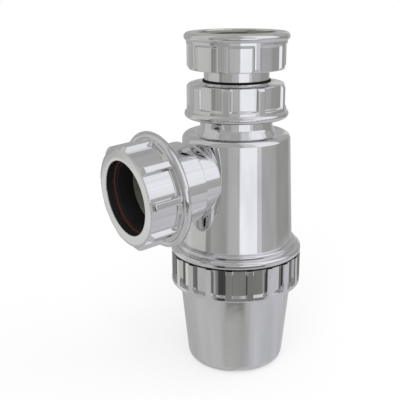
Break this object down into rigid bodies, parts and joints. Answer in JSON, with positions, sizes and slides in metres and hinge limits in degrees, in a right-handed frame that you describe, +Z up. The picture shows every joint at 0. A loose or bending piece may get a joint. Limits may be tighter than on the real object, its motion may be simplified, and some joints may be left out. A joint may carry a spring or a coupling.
{
  "type": "bottle trap",
  "caption": "Chrome-plated bottle trap: screw cup below, falling side outlet, telescopic inlet with ribbed coupling nuts.",
  "frame": {"origin": "centre of the cup's base, on the trap's vertical axis", "axes": "+Z up along the trap's axis towards the inlet; the outlet leaves towards -X and falls slightly"},
  "size_m": [0.1079, 0.0724, 0.1846],
  "materials": {
    "chrome_plating": "polished chrome plating on moulded plastic",
    "black_rubber": "matt moulded rubber",
    "black_plastic": "satin moulded plastic",
    "slip_ring_plastic": "satin moulded plastic"
  },
  "bodies": {
    "trap_body": {"body": "chrome_plating", "dip_tube": "black_plastic", "neck_seal": "black_rubber", "outlet_seal": "black_rubber"},
    "inlet_tube": {"inlet_tube": "chrome_plating", "inlet_washer": "black_rubber"},
    "inlet_nut": {"inlet_nut": "chrome_plating"},
    "neck_slip_ring": {"neck_slip_ring": "slip_ring_plastic"},
    "neck_nut": {"neck_nut": "chrome_plating"},
    "outlet_slip_ring": {"outlet_slip_ring": "slip_ring_plastic"},
    "outlet_nut": {"outlet_nut": "chrome_plating"},
    "cup_seal": {"cup_seal": "black_rubber"},
    "cup": {"cup": "chrome_plating"}
  },
  "joints": [
    {"name": "inlet_tube_slide", "type": "slide", "parent": "trap_body", "child": "inlet_tube", "axis": [0, 0, 1], "range_m": [0, 0.05]},
    {"name": "inlet_nut_turn", "type": "hinge", "parent": "inlet_tube", "child": "inlet_nut", "pos_m": [0, 0, 0.178], "axis": [0, 0, 1], "continuous": true},
    {"name": "neck_nut_travel", "type": "slide", "parent": "trap_body", "child": "neck_slip_ring", "axis": [0, 0, 1], "range_m": [0, 0.00463]},
    {"name": "neck_nut_turn", "type": "hinge", "parent": "neck_slip_ring", "child": "neck_nut", "pos_m": [0, 0, 0.15], "axis": [0, 0, 1], "range_deg": [0, 720]},
    {"name": "outlet_nut_travel", "type": "slide", "parent": "trap_body", "child": "outlet_slip_ring", "axis": [-0.9963, 0, -0.0854], "range_m": [0, 0.01155]},
    {"name": "outlet_nut_turn", "type": "hinge", "parent": "outlet_slip_ring", "child": "outlet_nut", "pos_m": [-0.05978, 0, 0.10708], "axis": [-0.9963, 0, -0.0854], "range_deg": [0, 1800]},
    {"name": "cup_travel", "type": "slide", "parent": "trap_body", "child": "cup_seal", "axis": [0, 0, -1], "range_m": [0, 0.01201]},
    {"name": "cup_turn", "type": "hinge", "parent": "cup_seal", "child": "cup", "pos_m": [0, 0, 0.057], "axis": [0, 0, -1], "range_deg": [0, 1440]}
  ],
  "couplings": [
    {"joint": "neck_nut_travel", "follows": "neck_nut_turn", "m_per_rad": 0.0003675},
    {"joint": "outlet_nut_travel", "follows": "outlet_nut_turn", "m_per_rad": 0.0003675},
    {"joint": "cup_travel", "follows": "cup_turn", "m_per_rad": 0.00047746}
  ]
}
